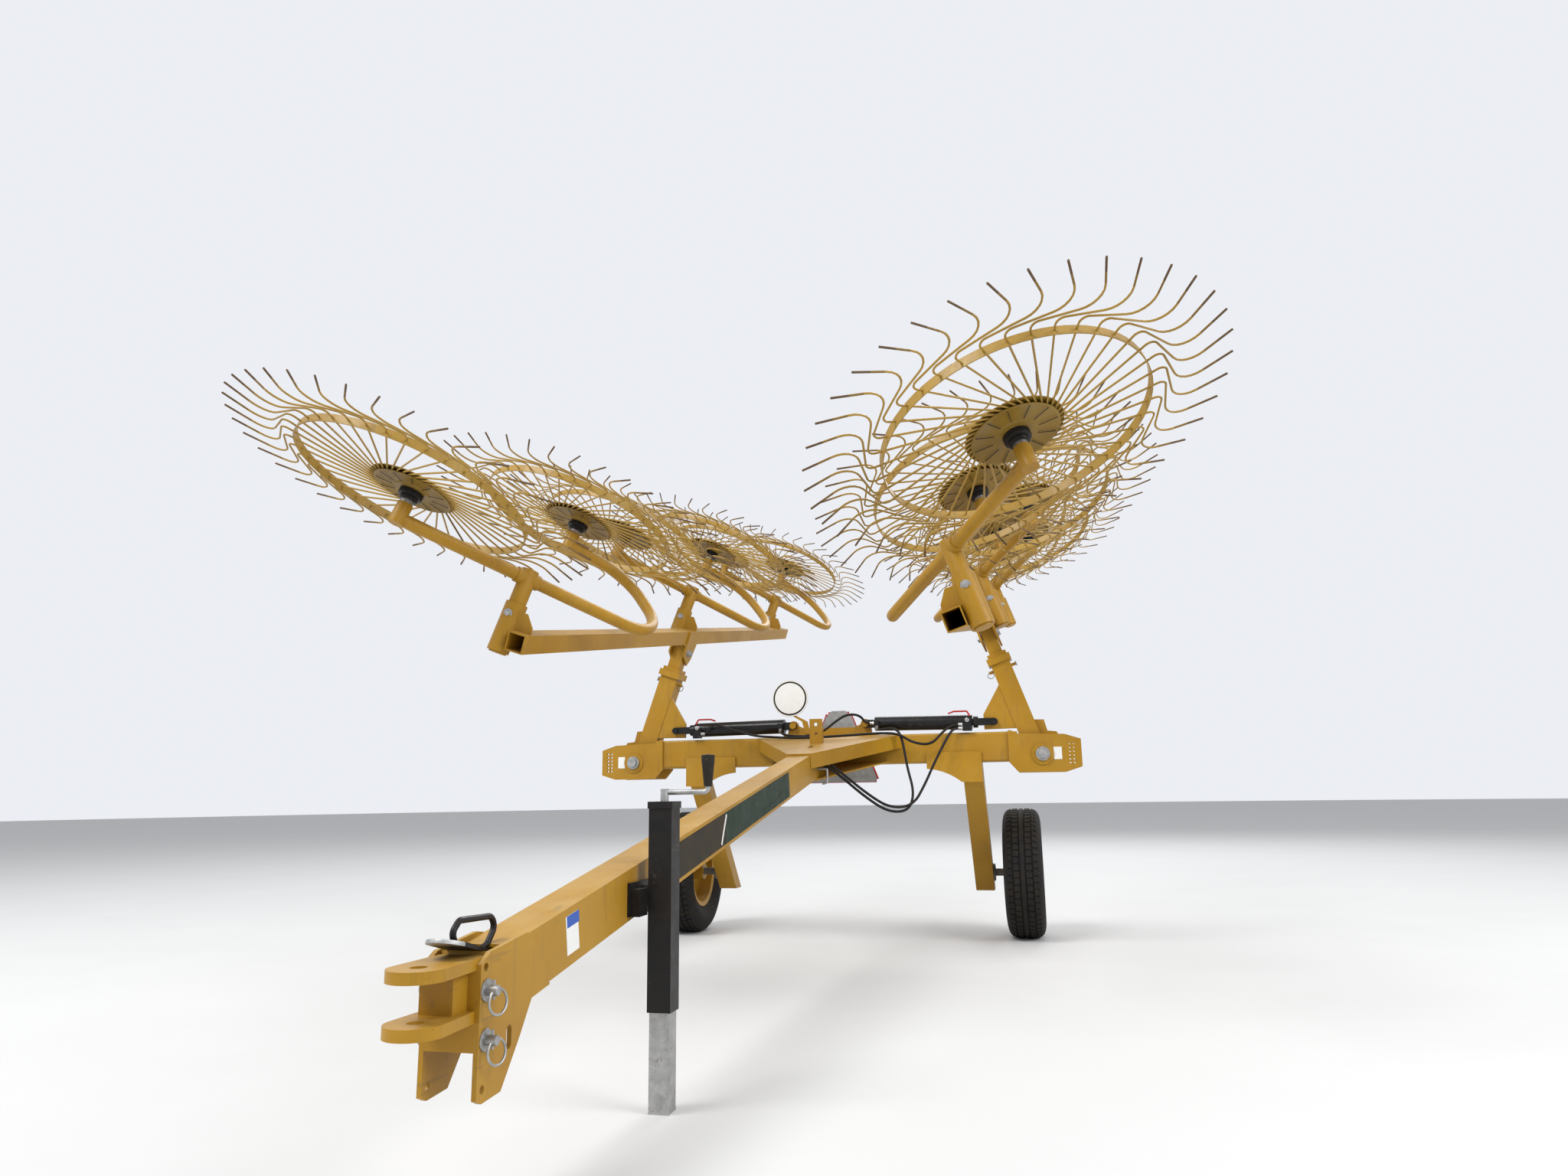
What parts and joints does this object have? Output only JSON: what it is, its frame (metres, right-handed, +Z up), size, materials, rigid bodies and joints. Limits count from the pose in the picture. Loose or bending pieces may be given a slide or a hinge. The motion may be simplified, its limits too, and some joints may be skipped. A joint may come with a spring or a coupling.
{
  "type": "wheel rake",
  "caption": "Carted V-shaped wheel rake folded for the road: sloping drawbar, cross beam on two tyres, jack, and two leaning booms carrying large tined raking wheels.",
  "frame": {"origin": "centre of the hitch clevis bore at the drawbar's nose", "axes": "+Y runs rearward along the machine, +X to the right when looking along +Y, +Z up"},
  "size_m": [3.5144, 7.2018, 2.9397],
  "materials": {
    "yellow_paint": "satin yellow paint, dusty, with scratches and rust at edges",
    "yellow_rim": "satin yellow paint on pressed steel",
    "wheel_yellow": "satin yellow paint, dark worn tips",
    "grey_casting": "grey worn casting",
    "zinc": "dull zinc plating",
    "black_steel": "satin black paint, scuffed",
    "black_cylinder": "gloss black paint, dusty",
    "black_grip": "matte ribbed black plastic",
    "hose_rubber": "matte black rubber",
    "tyre_rubber": "dusty black tyre rubber",
    "sign_white": "white sheet with a black ring",
    "sign_orange": "orange sheet with a red border"
  },
  "bodies": {
    "frame": {"drawbar": "yellow_paint", "hitch_plates": "yellow_paint", "hitch_clevis": "grey_casting", "clevis_pins": "zinc", "hitch_pin": "black_steel", "pin_shelf": "yellow_paint", "cross_beam": "yellow_paint", "gusset_top": "yellow_paint", "gusset_bottom": "yellow_paint", "cylinder_anchor": "yellow_paint", "hose_bracket": "yellow_paint", "speed_disc": "sign_white", "slow_plate": "sign_orange", "end_plates": "yellow_paint", "pivot_pins": "zinc", "legs": "yellow_paint", "axles": "zinc", "jack_mount": "black_steel", "jack_outer": "black_steel", "jack_crank": "zinc", "jack_grip": "black_grip", "hose_hook": "zinc", "hose_main_inner": "hose_rubber", "hose_main_outer": "hose_rubber", "hose_cross_outer": "hose_rubber", "hose_cross_inner": "hose_rubber"},
    "jack_leg": {"jack_inner": "zinc"},
    "ground_wheel_left": {"tyre_left": "tyre_rubber", "wheel_rim_left": "yellow_rim"},
    "boom_left": {"mast_outer_left": "yellow_paint", "mast_inner_left": "yellow_paint", "beam_bracket_left": "yellow_paint", "rake_beam_left": "yellow_paint", "rake_arms_left": "yellow_paint"},
    "ground_wheel_right": {"tyre_right": "tyre_rubber", "wheel_rim_right": "yellow_rim"},
    "boom_right": {"mast_outer_right": "yellow_paint", "mast_inner_right": "yellow_paint", "beam_bracket_right": "yellow_paint", "rake_beam_right": "yellow_paint", "rake_arms_right": "yellow_paint"},
    "cylinder_barrel_left": {"barrel_left": "black_cylinder"},
    "cylinder_rod_left": {"rod_left": "black_cylinder"},
    "cylinder_barrel_right": {"barrel_right": "black_cylinder"},
    "cylinder_rod_right": {"rod_right": "black_cylinder"},
    "rake_wheel_left_1": {"rake_wheel_left_1": "wheel_yellow"},
    "rake_wheel_right_1": {"rake_wheel_right_1": "wheel_yellow"},
    "rake_wheel_left_2": {"rake_wheel_left_2": "wheel_yellow"},
    "rake_wheel_right_2": {"rake_wheel_right_2": "wheel_yellow"},
    "rake_wheel_left_3": {"rake_wheel_left_3": "wheel_yellow"},
    "rake_wheel_right_3": {"rake_wheel_right_3": "wheel_yellow"},
    "rake_wheel_left_4": {"rake_wheel_left_4": "wheel_yellow"},
    "rake_wheel_right_4": {"rake_wheel_right_4": "wheel_yellow"},
    "rake_wheel_left_5": {"rake_wheel_left_5": "wheel_yellow"},
    "rake_wheel_right_5": {"rake_wheel_right_5": "wheel_yellow"},
    "rake_wheel_left_6": {"rake_wheel_left_6": "wheel_yellow"},
    "rake_wheel_right_6": {"rake_wheel_right_6": "wheel_yellow"}
  },
  "joints": [
    {"name": "jack_slide", "type": "slide", "parent": "frame", "child": "jack_leg", "axis": [0, 0, 1], "range_m": [-0.1, 0.2]},
    {"name": "ground_wheel_left_spin", "type": "hinge", "parent": "frame", "child": "ground_wheel_left", "pos_m": [-0.97, 4.285, -0.0905], "axis": [1, 0, 0], "continuous": true},
    {"name": "fold_left", "type": "hinge", "parent": "frame", "child": "boom_left", "pos_m": [-1.1105, 3.788, 0.535], "axis": [0, -1, 0], "range_deg": [0, 100]},
    {"name": "ground_wheel_right_spin", "type": "hinge", "parent": "frame", "child": "ground_wheel_right", "pos_m": [0.97, 4.285, -0.0905], "axis": [1, 0, 0], "continuous": true},
    {"name": "fold_right", "type": "hinge", "parent": "frame", "child": "boom_right", "pos_m": [1.1105, 3.788, 0.535], "axis": [0, 1, 0], "range_deg": [0, 100]},
    {"name": "cylinder_turn_left", "type": "hinge", "parent": "frame", "child": "cylinder_barrel_left", "pos_m": [-0.198, 3.75, 0.715], "axis": [0, 1, 0], "range_deg": [0, 2.5]},
    {"name": "cylinder_extend_left", "type": "slide", "parent": "cylinder_barrel_left", "child": "cylinder_rod_left", "axis": [-0.9999, 0, -0.0118], "range_m": [0, 0.446]},
    {"name": "cylinder_turn_right", "type": "hinge", "parent": "frame", "child": "cylinder_barrel_right", "pos_m": [0.198, 3.75, 0.715], "axis": [0, -1, 0], "range_deg": [0, 2.5]},
    {"name": "cylinder_extend_right", "type": "slide", "parent": "cylinder_barrel_right", "child": "cylinder_rod_right", "axis": [0.9999, 0, -0.0118], "range_m": [0, 0.446]},
    {"name": "rake_wheel_left_1_spin", "type": "hinge", "parent": "boom_left", "child": "rake_wheel_left_1", "pos_m": [-1.08512, 1.4844, 1.48848], "axis": [0.282, 0.262, 0.923], "continuous": true},
    {"name": "rake_wheel_right_1_spin", "type": "hinge", "parent": "boom_right", "child": "rake_wheel_right_1", "pos_m": [1.08512, 1.4844, 1.48848], "axis": [-0.282, 0.262, 0.923], "continuous": true},
    {"name": "rake_wheel_left_2_spin", "type": "hinge", "parent": "boom_left", "child": "rake_wheel_left_2", "pos_m": [-0.90376, 2.50904, 1.61336], "axis": [0.282, 0.262, 0.923], "continuous": true},
    {"name": "rake_wheel_right_2_spin", "type": "hinge", "parent": "boom_right", "child": "rake_wheel_right_2", "pos_m": [0.90376, 2.50904, 1.61336], "axis": [-0.282, 0.262, 0.923], "continuous": true},
    {"name": "rake_wheel_left_3_spin", "type": "hinge", "parent": "boom_left", "child": "rake_wheel_left_3", "pos_m": [-1.08512, 3.46427, 1.79852], "axis": [0.282, 0.262, 0.923], "continuous": true},
    {"name": "rake_wheel_right_3_spin", "type": "hinge", "parent": "boom_right", "child": "rake_wheel_right_3", "pos_m": [1.08512, 3.46427, 1.79852], "axis": [-0.282, 0.262, 0.923], "continuous": true},
    {"name": "rake_wheel_left_4_spin", "type": "hinge", "parent": "boom_left", "child": "rake_wheel_left_4", "pos_m": [-0.90376, 4.48891, 1.9234], "axis": [0.282, 0.262, 0.923], "continuous": true},
    {"name": "rake_wheel_right_4_spin", "type": "hinge", "parent": "boom_right", "child": "rake_wheel_right_4", "pos_m": [0.90376, 4.48891, 1.9234], "axis": [-0.282, 0.262, 0.923], "continuous": true},
    {"name": "rake_wheel_left_5_spin", "type": "hinge", "parent": "boom_left", "child": "rake_wheel_left_5", "pos_m": [-1.08512, 5.44414, 2.10856], "axis": [0.282, 0.262, 0.923], "continuous": true},
    {"name": "rake_wheel_right_5_spin", "type": "hinge", "parent": "boom_right", "child": "rake_wheel_right_5", "pos_m": [1.08512, 5.44414, 2.10856], "axis": [-0.282, 0.262, 0.923], "continuous": true},
    {"name": "rake_wheel_left_6_spin", "type": "hinge", "parent": "boom_left", "child": "rake_wheel_left_6", "pos_m": [-0.90376, 6.46878, 2.23344], "axis": [0.282, 0.262, 0.923], "continuous": true},
    {"name": "rake_wheel_right_6_spin", "type": "hinge", "parent": "boom_right", "child": "rake_wheel_right_6", "pos_m": [0.90376, 6.46878, 2.23344], "axis": [-0.282, 0.262, 0.923], "continuous": true}
  ],
  "couplings": [
    {"joint": "cylinder_turn_left", "follows": "fold_left", "ratio": 0.017768},
    {"joint": "cylinder_extend_left", "follows": "fold_left", "m_per_rad": 0.25517},
    {"joint": "cylinder_turn_right", "follows": "fold_right", "ratio": 0.017768},
    {"joint": "cylinder_extend_right", "follows": "fold_right", "m_per_rad": 0.25517}
  ]
}
